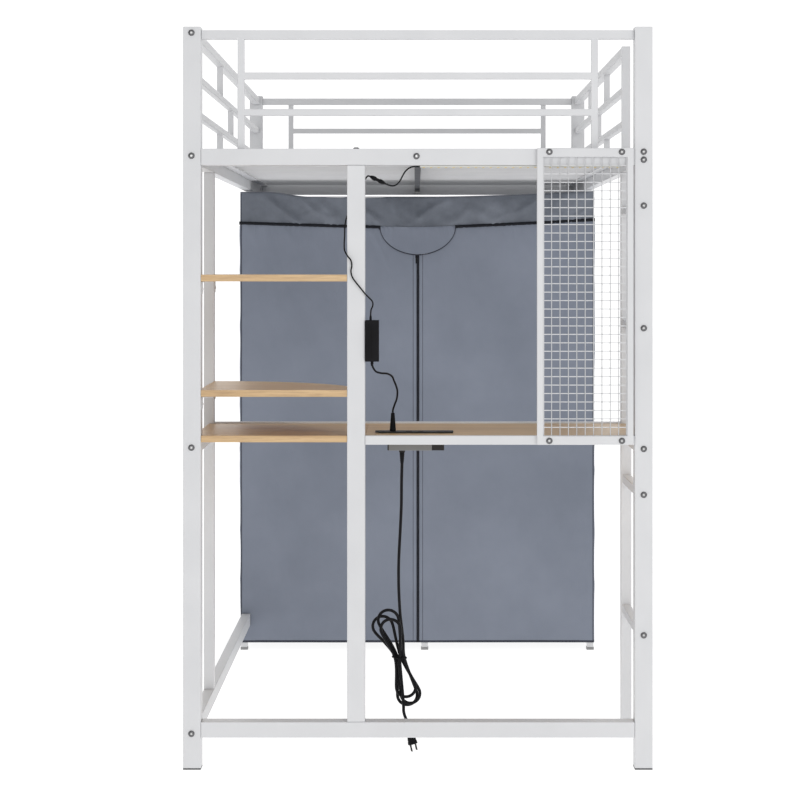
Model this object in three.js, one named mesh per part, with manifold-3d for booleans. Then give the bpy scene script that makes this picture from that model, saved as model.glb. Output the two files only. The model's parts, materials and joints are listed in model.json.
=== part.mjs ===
// Loft bed with a desk, corner shelves, a wire mesh panel and a fabric wardrobe under it.
// Millimetres, +Z up. Design axes: X across the bed, Y from the desk end to the wardrobe end, Z up
// from the floor. The group is moved at the end, so that the origin is in the middle of the footprint.
import * as THREE from 'three';
import { mergeVertices } from 'three/addons/utils/BufferGeometryUtils.js';
import Module from 'manifold-3d';

const wasm = await Module();
wasm.setup();

// ---- Driving dimensions ----
// Overall
const BED_WIDTH = 1054;
const BED_LENGTH = 1990;
const BED_HEIGHT = 1668;
const GAP = 0.3; // clearance between pieces that touch

// Posts and their feet
const POST = 40;
const POST_WALL = 1.5;
const POST_LID = 3;
const FOOT_HEIGHT = 3;
const FOOT_PLUG = 25;

// End frames
const END_RAIL_HEIGHT = 37;
const BOTTOM_RAIL_HEIGHT = 35;
const BOTTOM_RAIL_UNDERSIDE = 72;
const SHELF_BAY = 328.3; // clear width between the near left post and the middle post
const TUBE_WALL = 1.2;

// Platform: its height is that of the tops of its rails
const PLATFORM_TOP = 1394;
const SIDE_INSET = 22; // from the outside of the posts to the middle of the rails along the sides
const SIDE_RAIL_WIDTH = 25;
const BEAM_WIDTH = 15;
const BEAM_HEIGHT = 25;
const SLATS_PER_PANEL = 10;
const SLAT_WIDTH = 55;
const SLAT_HEIGHT = 7;
const SLAT_SHEET = 1.2;
const LEDGE_WIDTH = 20;
const LEDGE_THICKNESS = 3;
const LEDGE_INSET = 12;

// Guards
const GUARD_DROP = 7; // from the tops of the posts down to the top rails
const GUARD_RAIL = 20;
const GUARD_BAR = 15;
const END_BAR_INSET = 89; // from the inside of a post to the middle of the bar beside it

// Desk bay: the left upright, the ladder leg and the rear rail of the desk stand in one plane
const BAY_DEPTH = 392;
const UPRIGHT = 25;
const RUNG = 20;
const LOWEST_RUNG = 302;
const TOP_RUNG = 1266;
const RUNG_UNDER_DESK = 133; // from the middle of a rung up to the desk top
const RUNG_OVER_DESK = 241;
const DESK_HEIGHT = 750;
const BOARD = 15;
const DESK_SIDE_RAIL = 25;
const DESK_RAIL = 20;
const NEAR_RAIL_DROP = 0.5; // top of the near rail below the desk top
const REAR_RAIL_LIP = 3.5; // top of the rear rail above the desk top

// Corner shelves
const SHELF_TOPS = { upper: 1111, lower: 852 };
const SHELF_REACH = 357; // along the front, from the near left post to the end of the curve

// Mesh panel
const MESH_WIDTH = 216;
const MESH_TO_POST = 4;
const MESH_SIDE_BAR = 14;
const MESH_END_BAR = 20;
const MESH_DEPTH = 10;
const MESH_OVER_PLATFORM = 1;
const MESH_PITCH = 19.3;
const WIRE = 2;

// Wardrobe frame and cover
const WARDROBE_DEPTH = 422;
const COVER_TO_SIDE = 4; // from the outside of the posts to the cloth
const COVER_TO_RAIL = 19; // below the underside of the platform rails
const COVER_TO_POST = 6; // in front of the far posts
const COVER_HEM = 22;
const CLOTH = 2;
const CLOTH_TO_FRAME = 1;
const WARDROBE_TUBE = 19;
const MIDDLE_LEG_X = 22;
const WARDROBE_BASE = 60;
const ROD_DIAMETER = 19;
const ROD_DROP = 90; // from the top of the wardrobe frame to the middle of the rod
const ZIP_DROP = 88; // from the top of the cover to the horizontal zip
const FRONT_STRIP = 45; // cloth beside each door panel
const CENTRE_ZIP_X = 2;
const FLAP_WIDTH = 222;
const FLAP_DROP = 80;
const SLIDER = { width: 8, depth: 4, height: 26 };

// Power outlet in the desk
const OUTLET_X = -4.5;
const OUTLET_Y = 90;
const BEZEL = { width: 169, depth: 50, height: 3 };
const OUTLET_BODY = { width: 129, depth: 44, drop: 24 }; // drop is below the board
const CUTOUT_CLEARANCE = 1;
const BOSS = { x: -36, diameter: 14, height: 6 };
const MAINS_PLUG = { x: -14, middle: 50, width: 22, depth: 14, height: 24, turn: 28, tilt: -13 }; // degrees
const HANK = { top: 350, bottom: 122, shoulder: 344, thickness: 32, waist: 235 };
const PRONG = { width: 6.3, thickness: 1.6, length: 16, spread: 12.7 };
const MAINS_CORD = 7;

// Lighting
const ADAPTER_PLUG = { x: -57, bottom: 15, top: 8, height: 42 };
const ADAPTER = { width: 31, depth: 26, height: 93, underside: 916, y: 8 };
const ADAPTER_CORD = 4.5;
const THIN_CORD = 3.4;
const CONNECTOR = { diameter: 10, clearance: 0.8 };
const STRIP = { start: 5, end: 458, width: 10, thickness: 4, y: 19 };

// ---- Derived places ----
const halfWidth = BED_WIDTH / 2;
const innerX = halfWidth - POST;
const farY = BED_LENGTH - POST;
const sideX = halfWidth - SIDE_INSET;
const railUnderside = PLATFORM_TOP - END_RAIL_HEIGHT;
const bottomRailTop = BOTTOM_RAIL_UNDERSIDE + BOTTOM_RAIL_HEIGHT;
const guardTop = BED_HEIGHT - GUARD_DROP;
const middlePostLeft = SHELF_BAY - innerX;
const middlePostRight = middlePostLeft + POST;
const middlePostX = middlePostLeft + POST / 2;
const bayRear = BAY_DEPTH - UPRIGHT / 2;
const boardUnderside = DESK_HEIGHT - BOARD;
const rungHeights = [LOWEST_RUNG, DESK_HEIGHT - RUNG_UNDER_DESK, DESK_HEIGHT + RUNG_OVER_DESK, TOP_RUNG];
const endBarX = innerX - END_BAR_INSET;
const coverBack = farY - COVER_TO_POST;
const coverFront = coverBack - WARDROBE_DEPTH;
const coverX = halfWidth - COVER_TO_SIDE;
const coverTop = railUnderside - COVER_TO_RAIL;
const zipHeight = coverTop - ZIP_DROP;
const doorX = coverX - FRONT_STRIP;

// ---- Materials ----
const finish = (color, roughness, metalness) =>
  new THREE.MeshStandardMaterial({ color, roughness, metalness });
const paint = () => finish(0xe4e4e6, 0.45, 0.1);
const wood = () => finish(0xd2b183, 0.6, 0);
const cloth = () => finish(0x7c828e, 0.9, 0);
const black = () => finish(0x1a1b1d, 0.5, 0);
const grey = () => finish(0x6a6d70, 0.5, 0);
const steel = () => finish(0xb8babd, 0.3, 1);
const lamp = () => finish(0xe8e3c8, 0.4, 0);

const bed = new THREE.Group();

function place(name, geometry, material) {
  const mesh = new THREE.Mesh(geometry, material);
  mesh.name = name;
  bed.add(mesh);
}

// ---- Solids ----
// A box from its lowest to its highest corner.
function block(low, high) {
  const size = high.map((value, axis) => value - low[axis]);
  const middle = high.map((value, axis) => (value + low[axis]) / 2);
  return new THREE.BoxGeometry(...size).translate(...middle);
}

function toManifold(geometry) {
  const bare = geometry.clone();
  bare.deleteAttribute('normal');
  bare.deleteAttribute('uv');
  const merged = mergeVertices(bare, 1e-4);
  return new wasm.Manifold(
    new wasm.Mesh({
      numProp: 3,
      vertProperties: merged.attributes.position.array,
      triVerts: new Uint32Array(merged.index.array),
    }),
  );
}

function toGeometry(manifold) {
  const mesh = manifold.getMesh();
  return new THREE.BufferGeometry()
    .setAttribute('position', new THREE.BufferAttribute(mesh.vertProperties, 3))
    .setIndex(new THREE.BufferAttribute(mesh.triVerts, 1));
}

function united(geometries) {
  const solids = geometries.map(toManifold);
  return solids.reduce((sum, solid) => sum.add(solid));
}

const join = (...geometries) => toGeometry(united(geometries));
const cut = (geometry, ...tools) => toGeometry(toManifold(geometry).subtract(united(tools)));

// A straight bar along one axis: its ends, the middle of its section and the section's two sides.
// The section's sides are given in axis order, so a bar along Y has its X side first, then Z.
function bar(axis, from, to, centre, sides) {
  const low = [];
  const high = [];
  const across = [0, 1, 2].filter((index) => index !== axis);
  low[axis] = from;
  high[axis] = to;
  across.forEach((index, order) => {
    low[index] = centre[order] - sides[order] / 2;
    high[index] = centre[order] + sides[order] / 2;
  });
  return { axis, low, high };
}

const X = 0;
const Y = 1;
const Z = 2;

const outer = (member) => block(member.low, member.high);

// The bore of a tube with the given wall, a little longer than the tube, so that its ends are open.
function bore(member, wall) {
  const inset = (values, sign) =>
    values.map((value, index) => value + sign * (index === member.axis ? -1 : wall));
  return block(inset(member.low, 1), inset(member.high, -1));
}

const tube = (member, wall = TUBE_WALL) => cut(outer(member), bore(member, wall));

// Tubes welded into one frame: their bores meet where they join, and are open at the free ends.
const weldedTubes = (members, wall = TUBE_WALL) =>
  toGeometry(united(members.map(outer)).subtract(united(members.map((member) => bore(member, wall)))));

// A flat panel from an outline drawn in its own plane.
function panel(outline, thickness) {
  return new THREE.ExtrudeGeometry(outline, { depth: thickness, bevelEnabled: false, curveSegments: 14 });
}

const outlineOf = (corners) => new THREE.Shape(corners.map(([x, y]) => new THREE.Vector2(x, y)));

// A cord's solid: a tube through the points of its route.
function cord(points, diameter, steps) {
  const path = new THREE.CatmullRomCurve3(points.map((point) => new THREE.Vector3(...point)));
  const section = new THREE.Shape();
  const sides = 8;
  for (let side = 0; side < sides; side += 1) {
    const angle = (2 * Math.PI * side) / sides;
    const corner = [(Math.cos(angle) * diameter) / 2, (Math.sin(angle) * diameter) / 2];
    if (side === 0) section.moveTo(...corner);
    else section.lineTo(...corner);
  }
  return new THREE.ExtrudeGeometry(section, { steps, extrudePath: path, curveSegments: 1 });
}

// ---- Posts and feet ----
function buildPosts() {
  const corners = [
    ['near_left', -1, 0],
    ['near_right', 1, 0],
    ['far_left', -1, farY],
    ['far_right', 1, farY],
  ];
  for (const [corner, side, nearFace] of corners) {
    const x = side * (halfWidth - POST / 2);
    const y = nearFace + POST / 2;
    const post = bar(Z, FOOT_HEIGHT + GAP, BED_HEIGHT, [x, y], [POST, POST]);
    const hollow = bore(post, POST_WALL).translate(0, 0, -POST_LID - 1);
    place(`post_${corner}`, cut(outer(post), hollow), paint());
    const plugSide = POST - 2 * POST_WALL - 2 * GAP;
    const pad = outer(bar(Z, 0, FOOT_HEIGHT, [x, y], [POST, POST]));
    const plug = outer(bar(Z, FOOT_HEIGHT / 2, FOOT_HEIGHT + FOOT_PLUG, [x, y], [plugSide, plugSide]));
    place(`foot_${corner}`, join(pad, plug), black());
  }
}

// ---- End frames ----
// The heights of the two cross bars of every guard: they share its height in thirds.
function guardBarHeights() {
  const clear = guardTop - GUARD_RAIL - PLATFORM_TOP;
  return [1, 2].map((third) => PLATFORM_TOP + (clear * third) / 3);
}

function endGuard(y) {
  const topRail = guardTop - GUARD_RAIL / 2;
  const members = [
    bar(X, GAP - innerX, innerX - GAP, [y, topRail], [GUARD_RAIL, GUARD_RAIL]),
  ];
  for (const x of [-endBarX, endBarX]) {
    members.push(bar(Z, PLATFORM_TOP + GAP, topRail, [x, y], [GUARD_BAR, GUARD_BAR]));
  }
  for (const height of guardBarHeights()) {
    members.push(bar(X, -endBarX, endBarX, [y, height], [GUARD_BAR, GUARD_BAR]));
  }
  return weldedTubes(members);
}

function buildEndFrames() {
  const rail = (y, underside, height) =>
    tube(bar(X, GAP - innerX, innerX - GAP, [y, underside + height / 2], [POST, height]));
  for (const [end, nearFace] of [['near', 0], ['far', farY]]) {
    const y = nearFace + POST / 2;
    place(`platform_rail_${end}`, rail(y, railUnderside, END_RAIL_HEIGHT), paint());
    place(`bottom_rail_${end}`, rail(y, BOTTOM_RAIL_UNDERSIDE, BOTTOM_RAIL_HEIGHT), paint());
    place(`guard_${end}`, endGuard(y), paint());
  }
  const middle = bar(Z, bottomRailTop + GAP, railUnderside - GAP, [middlePostX, POST / 2], [POST, POST]);
  place('middle_post', tube(middle, POST_WALL), paint());
}

// ---- Platform ----
function slatPanel(start, end) {
  const slatBottom = PLATFORM_TOP - SLAT_HEIGHT;
  const reach = sideX - SIDE_RAIL_WIDTH / 2 - GAP;
  const pitch = (end - start) / SLATS_PER_PANEL;
  const pieces = [];
  for (const side of [-1, 1]) {
    const x = side * (reach - LEDGE_INSET);
    const height = slatBottom - LEDGE_THICKNESS / 2 + GAP;
    pieces.push(outer(bar(Y, start, end, [x, height], [LEDGE_WIDTH, LEDGE_THICKNESS])));
  }
  for (let slat = 0; slat < SLATS_PER_PANEL; slat += 1) {
    const y = start + (slat + 0.5) * pitch;
    const low = [-reach, y - SLAT_WIDTH / 2, slatBottom];
    const high = [reach, y + SLAT_WIDTH / 2, PLATFORM_TOP];
    const channelLow = [-reach - 1, low[Y] + SLAT_SHEET, slatBottom - 1];
    const channelHigh = [reach + 1, high[Y] - SLAT_SHEET, PLATFORM_TOP - SLAT_SHEET];
    pieces.push(cut(block(low, high), block(channelLow, channelHigh)));
  }
  return join(...pieces);
}

function buildPlatform() {
  const start = POST + GAP;
  const end = farY - GAP;
  const middle = (start + end) / 2;
  const railHeight = railUnderside + END_RAIL_HEIGHT / 2;
  for (const [side, x] of [['left', -sideX], ['right', sideX]]) {
    const rail = bar(Y, start, end, [x, railHeight], [SIDE_RAIL_WIDTH, END_RAIL_HEIGHT]);
    place(`platform_rail_${side}`, tube(rail), paint());
  }
  const beamMiddle = PLATFORM_TOP - SLAT_HEIGHT - GAP - BEAM_HEIGHT / 2;
  place('centre_beam', tube(bar(Y, start, end, [0, beamMiddle], [BEAM_WIDTH, BEAM_HEIGHT])), paint());
  place('slat_panel_near', slatPanel(start, middle - GAP), paint());
  place('slat_panel_far', slatPanel(middle + GAP, end), paint());
}

// ---- Side guards ----
// Three rails from start to end, with short uprights: two in the upper and lower rows, one between.
function sideGuardMembers(x, start, end) {
  const topRail = guardTop - GUARD_RAIL / 2;
  const [lowerBar, upperBar] = guardBarHeights();
  const at = (share) => start + (end - start) * share;
  const upright = (share, low, high) => bar(Z, low, high, [x, at(share)], [GUARD_BAR, GUARD_BAR]);
  const members = [
    bar(Y, start, end, [x, topRail], [GUARD_RAIL, GUARD_RAIL]),
    bar(Y, start, end, [x, upperBar], [GUARD_BAR, GUARD_BAR]),
    bar(Y, start, end, [x, lowerBar], [GUARD_BAR, GUARD_BAR]),
    upright(1 / 2, lowerBar, upperBar),
  ];
  for (const share of [1 / 3, 2 / 3]) {
    members.push(upright(share, upperBar, topRail));
    members.push(upright(share, PLATFORM_TOP + GAP, lowerBar));
  }
  return members;
}

function buildSideGuards() {
  const end = farY - GAP;
  place('guard_left', weldedTubes(sideGuardMembers(-sideX, POST + GAP, end)), paint());
  const right = sideGuardMembers(sideX, BAY_DEPTH, end);
  right.push(bar(Z, PLATFORM_TOP + GAP, guardTop, [sideX, BAY_DEPTH], [GUARD_RAIL, GUARD_RAIL]));
  place('guard_right', weldedTubes(right), paint());
}

// ---- Ladder, left upright and bottom side rail ----
function buildLadder() {
  const members = [bar(Z, 0, railUnderside - GAP, [sideX, BAY_DEPTH], [UPRIGHT, UPRIGHT])];
  for (const height of rungHeights) {
    members.push(bar(Y, POST + GAP, BAY_DEPTH, [sideX, height], [RUNG, RUNG]));
  }
  place('ladder', weldedTubes(members), paint());
}

function buildLeftSide() {
  const upright = bar(Z, bottomRailTop + GAP, railUnderside - GAP, [-sideX, BAY_DEPTH], [UPRIGHT, UPRIGHT]);
  place('left_upright', tube(upright), paint());
  const height = BOTTOM_RAIL_UNDERSIDE + BOTTOM_RAIL_HEIGHT / 2;
  const rail = bar(Y, POST + GAP, coverFront - GAP, [-sideX, height], [SIDE_RAIL_WIDTH, BOTTOM_RAIL_HEIGHT]);
  place('bottom_rail_left', tube(rail), paint());
}

// ---- Desk ----
function buildDeskRails() {
  const sideHeight = boardUnderside - GAP - DESK_SIDE_RAIL / 2;
  for (const [side, x] of [['left', -sideX], ['right', sideX]]) {
    const rail = bar(Y, POST + GAP, bayRear - GAP, [x, sideHeight], [DESK_SIDE_RAIL, DESK_SIDE_RAIL]);
    place(`desk_rail_${side}`, tube(rail), paint());
  }
  const nearHeight = DESK_HEIGHT - NEAR_RAIL_DROP - DESK_RAIL / 2;
  const railSides = [DESK_RAIL, DESK_RAIL];
  const near = bar(X, middlePostRight + GAP, innerX - GAP, [DESK_RAIL / 2, nearHeight], railSides);
  place('desk_rail_near', tube(near), paint());
  const rearHeight = DESK_HEIGHT + REAR_RAIL_LIP - DESK_RAIL / 2;
  const reach = sideX - UPRIGHT / 2 - GAP;
  place('desk_rail_rear', tube(bar(X, -reach, reach, [BAY_DEPTH, rearHeight], railSides)), paint());
}

function buildDeskBoards() {
  const rear = bayRear - GAP;
  const behindPosts = POST + GAP;
  const left = outlineOf([
    [GAP - innerX, 0],
    [middlePostLeft - GAP, 0],
    [middlePostLeft - GAP, behindPosts],
    [middlePostRight, behindPosts],
    [middlePostRight, rear],
    [-sideX, rear],
    [-sideX, behindPosts],
    [GAP - innerX, behindPosts],
  ]);
  place('desk_board_left', panel(left, BOARD).translate(0, 0, boardUnderside), wood());
  const right = outlineOf([
    [middlePostRight + GAP, DESK_RAIL + GAP],
    [innerX - GAP, DESK_RAIL + GAP],
    [innerX - GAP, behindPosts],
    [sideX, behindPosts],
    [sideX, rear],
    [middlePostRight + GAP, rear],
  ]);
  const width = OUTLET_BODY.width + 2 * CUTOUT_CLEARANCE;
  const depth = OUTLET_BODY.depth + 2 * CUTOUT_CLEARANCE;
  const cutout = outer(bar(Z, boardUnderside - 1, DESK_HEIGHT + 1, [OUTLET_X, OUTLET_Y], [width, depth]));
  const board = panel(right, BOARD).translate(0, 0, boardUnderside);
  place('desk_board_right', cut(board, cutout), wood());
}

// ---- Corner shelves ----
// A quarter of an ellipse about the near left corner, cut straight beside the middle post.
function buildShelves() {
  const depth = BAY_DEPTH;
  const right = middlePostLeft - GAP;
  const start = Math.acos((right + innerX) / SHELF_REACH);
  const outline = new THREE.Shape();
  outline.moveTo(GAP - innerX, 0);
  outline.lineTo(right, 0);
  outline.absellipse(-innerX, 0, SHELF_REACH, depth, start, Math.PI / 2, false);
  outline.lineTo(UPRIGHT / 2 + GAP - sideX, depth);
  outline.lineTo(UPRIGHT / 2 + GAP - sideX, POST + GAP);
  outline.lineTo(GAP - innerX, POST + GAP);
  for (const [name, top] of Object.entries(SHELF_TOPS)) {
    place(`shelf_${name}`, panel(outline, BOARD).translate(0, 0, top - BOARD), wood());
  }
}

// ---- Mesh panel ----
const meshTop = PLATFORM_TOP + MESH_OVER_PLATFORM;
const meshUnderside = DESK_HEIGHT - DESK_RAIL;
const meshRight = innerX - MESH_TO_POST;
const meshLeft = meshRight - MESH_WIDTH;
const meshOpening = {
  left: meshLeft + MESH_SIDE_BAR,
  right: meshRight - MESH_SIDE_BAR,
  low: meshUnderside + MESH_END_BAR,
  high: meshTop - MESH_END_BAR,
};

// Evenly spaced places between two edges, no further apart than the pitch of the mesh.
function spaced(low, high) {
  const count = Math.ceil((high - low) / MESH_PITCH);
  return Array.from({ length: count - 1 }, (_, index) => low + ((high - low) * (index + 1)) / count);
}

function buildMesh() {
  const middle = -GAP - MESH_DEPTH / 2;
  const frontWireY = middle - GAP / 2 - WIRE / 2;
  const rearWireY = middle + GAP / 2 + WIRE / 2;
  const { left, right, low, high } = meshOpening;
  const frame = cut(
    block([meshLeft, -GAP - MESH_DEPTH, meshUnderside], [meshRight, -GAP, meshTop]),
    block([left, -2 * MESH_DEPTH, low], [right, MESH_DEPTH, high]),
  );
  const uprights = spaced(left, right).map((x) =>
    outer(bar(Z, low - WIRE, high + WIRE, [x, frontWireY], [WIRE, WIRE])),
  );
  place('mesh_panel', join(frame, ...uprights), paint());
  const edges = [left + GAP + WIRE / 2, right - GAP - WIRE / 2].map((x) =>
    outer(bar(Z, low + GAP, high - GAP, [x, rearWireY], [WIRE, WIRE])),
  );
  const crossing = spaced(low, high).map((z) =>
    outer(bar(X, left + GAP, right - GAP, [rearWireY, z], [WIRE, WIRE])),
  );
  place('mesh_cross_wires', join(...edges, ...crossing), paint());
}

// ---- Wardrobe frame ----
const wardrobeInset = CLOTH + CLOTH_TO_FRAME + WARDROBE_TUBE / 2; // from the cloth to a tube's middle
const wardrobeTubeSides = [WARDROBE_TUBE, WARDROBE_TUBE];
const outerLegX = coverX - wardrobeInset;

function wardrobeFrame(y, top) {
  const members = [-outerLegX, MIDDLE_LEG_X, outerLegX].map((x) =>
    bar(Z, 0, top + WARDROBE_TUBE / 2, [x, y], wardrobeTubeSides),
  );
  for (const height of [WARDROBE_BASE, top]) {
    members.push(bar(X, -outerLegX, outerLegX, [y, height], wardrobeTubeSides));
  }
  return weldedTubes(members);
}

function buildWardrobeFrame() {
  const frontY = coverFront + wardrobeInset;
  const rearY = coverBack - wardrobeInset;
  const top = coverTop - wardrobeInset;
  place('wardrobe_frame_front', wardrobeFrame(frontY, top), paint());
  place('wardrobe_frame_rear', wardrobeFrame(rearY, top), paint());
  const start = frontY + WARDROBE_TUBE / 2 + GAP;
  const end = rearY - WARDROBE_TUBE / 2 - GAP;
  for (const [side, x] of [['left', -outerLegX], ['right', outerLegX]]) {
    place(`wardrobe_top_rail_${side}`, tube(bar(Y, start, end, [x, top], wardrobeTubeSides)), paint());
  }
  const rodLength = 2 * outerLegX - WARDROBE_TUBE - 2 * GAP;
  const rodHeight = top + WARDROBE_TUBE / 2 - ROD_DROP;
  const rod = new THREE.CylinderGeometry(ROD_DIAMETER / 2, ROD_DIAMETER / 2, rodLength, 16);
  rod.rotateZ(Math.PI / 2);
  rod.translate(0, (start + end) / 2, rodHeight);
  place('hanging_rod', rod, steel());
}

// ---- Wardrobe cover ----
function buildCoverShell() {
  const backInside = coverBack - CLOTH;
  const top = coverTop - CLOTH;
  for (const [side, sign] of [['left', -1], ['right', 1]]) {
    const edge = sign * coverX;
    const corners = [
      [edge, coverFront],
      [sign * doorX, coverFront],
      [sign * doorX, coverFront + CLOTH],
      [edge - sign * CLOTH, coverFront + CLOTH],
      [edge - sign * CLOTH, coverBack],
      [edge, coverBack],
    ];
    const height = top - GAP - COVER_HEM;
    place(`cover_${side}`, panel(outlineOf(corners), height).translate(0, 0, COVER_HEM), cloth());
  }
  const inside = coverX - CLOTH - GAP;
  place('cover_back', block([-inside, backInside, COVER_HEM], [inside, coverBack, top - GAP]), cloth());
  const roof = block([-coverX, coverFront, top], [coverX, coverBack, coverTop]);
  const bandReach = doorX - GAP;
  const band = block([-bandReach, coverFront, zipHeight], [bandReach, coverFront + CLOTH, coverTop]);
  place('cover_top', join(roof, band), cloth());
}

// The half-round outline of the flap, drawn in X and Z and grown by a margin.
function flapOutline(margin) {
  const outline = new THREE.Shape();
  const reach = FLAP_WIDTH / 2 + margin;
  outline.moveTo(-reach, 0);
  outline.absellipse(0, 0, reach, FLAP_DROP + margin, Math.PI, 2 * Math.PI, false);
  return outline;
}

// A panel drawn in X and Z, standing in the wardrobe's front cloth and reaching past it by a margin.
function frontPanel(outline, z, margin) {
  const rear = coverFront + CLOTH + margin;
  return panel(outline, CLOTH + 2 * margin).rotateX(Math.PI / 2).translate(CENTRE_ZIP_X, rear, z);
}

function buildDoors() {
  const doorTop = zipHeight - GAP;
  const notch = frontPanel(flapOutline(GAP), doorTop + GAP, CLOTH);
  const doors = [
    ['left', GAP - doorX, CENTRE_ZIP_X - GAP],
    ['right', CENTRE_ZIP_X + GAP, doorX - GAP],
  ];
  for (const [side, low, high] of doors) {
    const door = block([low, coverFront, COVER_HEM], [high, coverFront + CLOTH, doorTop]);
    place(`door_${side}`, cut(door, notch), cloth());
  }
  place('zip_flap', frontPanel(flapOutline(0), doorTop, 0), cloth());
  const sliderTop = doorTop - FLAP_DROP - SLIDER.depth;
  const low = [-SLIDER.width, -SLIDER.depth, -SLIDER.height];
  const slider = block(low, [0, 0, 0]).translate(CENTRE_ZIP_X - GAP, coverFront - GAP, sliderTop);
  place('zip_slider', slider, black());
}

// ---- Power outlet, mains lead, hank and plug ----
function buildOutlet() {
  const centre = [OUTLET_X, OUTLET_Y];
  const bezelBase = DESK_HEIGHT + GAP;
  const bezel = bar(Z, bezelBase, bezelBase + BEZEL.height, centre, [BEZEL.width, BEZEL.depth]);
  const underside = boardUnderside - OUTLET_BODY.drop;
  const body = bar(Z, underside, DESK_HEIGHT + 1, centre, [OUTLET_BODY.width, OUTLET_BODY.depth]);
  const boss = new THREE.CylinderGeometry(BOSS.diameter / 2, BOSS.diameter / 2, BOSS.height + 2, 16);
  boss.rotateX(Math.PI / 2).translate(BOSS.x, OUTLET_Y, underside - BOSS.height / 2 + 1);
  place('outlet', join(outer(bezel), outer(body), boss), grey());
}

const bossUnderside = boardUnderside - OUTLET_BODY.drop - BOSS.height;
const hankEntry = [-41.5, OUTLET_Y];
const plugTilt = THREE.MathUtils.degToRad(MAINS_PLUG.tilt);
const plugReach = MAINS_PLUG.height / 2 + GAP;
const plugEntry = [
  MAINS_PLUG.x + plugReach * Math.sin(plugTilt),
  OUTLET_Y,
  MAINS_PLUG.middle + plugReach * Math.cos(plugTilt),
];

// The route of the mains lead above the hank and below it.
const MAINS_ROUTE = [
  [BOSS.x, OUTLET_Y, bossUnderside - GAP],
  [BOSS.x, OUTLET_Y, 685],
  [-37, OUTLET_Y, 640],
  [-37.7, OUTLET_Y, 580],
  [-41, OUTLET_Y, 509],
  [-43.5, OUTLET_Y, 456],
  [-43.7, OUTLET_Y, 404],
  [hankEntry[0], hankEntry[1], HANK.shoulder + GAP],
];
const MAINS_TAIL = [
  [-32.4, 82.5, HANK.bottom - GAP],
  [-32.4, 82.5, 116],
  [-30.4, 84.6, 106],
  [-26, 87.8, 94],
  [-21.4, 89.5, 81],
  [-18.6, OUTLET_Y, 69.8],
  plugEntry,
];

// The outer shape of the tied hank: a top lobe with a flat shoulder where the lead goes in, a waist, and
// a bottom lobe with a flat underside where the lead comes out.
function hankOutline() {
  const top = { x: -70, radius: 39.5 };
  const bottom = { x: -25.5, radius: 36.5 };
  const topZ = HANK.top - top.radius;
  const bottomZ = HANK.bottom + bottom.radius;
  const outline = new THREE.Shape();
  outline.absarc(top.x, topZ, top.radius, Math.PI + 0.5, 1.01, true);
  outline.lineTo(-49, HANK.shoulder);
  outline.lineTo(-34, HANK.shoulder);
  outline.lineTo(-32, 305);
  outline.lineTo(-26, HANK.waist);
  outline.absarc(bottom.x, bottomZ, bottom.radius, 0, -Math.PI / 3, true);
  outline.lineTo(-8, HANK.bottom);
  outline.lineTo(-38, HANK.bottom);
  outline.absarc(bottom.x, bottomZ, bottom.radius, (-2 * Math.PI) / 3, -Math.PI, true);
  outline.lineTo(-59, HANK.waist);
  return outline;
}

// The plug hangs turned about its own axis and tilted to one side, and is built about its body's middle.
function mainsPlug() {
  const half = MAINS_PLUG.height / 2;
  const body = outer(bar(Z, -half, half, [0, 0], [MAINS_PLUG.width, MAINS_PLUG.depth]));
  const pinSides = [PRONG.thickness, PRONG.width];
  const pins = [-1, 1].map((side) =>
    outer(bar(Z, -half - PRONG.length, 1 - half, [(side * PRONG.spread) / 2, 0], pinSides)),
  );
  const plug = join(body, ...pins).rotateZ(THREE.MathUtils.degToRad(MAINS_PLUG.turn));
  return plug.rotateY(plugTilt).translate(MAINS_PLUG.x, OUTLET_Y, MAINS_PLUG.middle);
}

function buildMainsLead() {
  place('mains_cord', cord(MAINS_ROUTE, MAINS_CORD, 24), black());
  place('mains_tail', cord(MAINS_TAIL, MAINS_CORD, 14), black());
  const hank = panel(hankOutline(), HANK.thickness).rotateX(Math.PI / 2);
  place('mains_hank', hank.translate(0, OUTLET_Y + HANK.thickness / 2, 0), black());
  place('mains_plug', mainsPlug(), black());
}

// ---- Lighting ----
const adapterX = middlePostRight + GAP + ADAPTER.width / 2;
const adapterTop = ADAPTER.underside + ADAPTER.height;
const plugTop = DESK_HEIGHT + BEZEL.height + 2 * GAP + ADAPTER_PLUG.height;
const stripTop = railUnderside - GAP;
const CONNECTOR_START = [-107.5, 36, 1333];
const CONNECTOR_END = [-75, 32, 1317.5];

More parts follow.
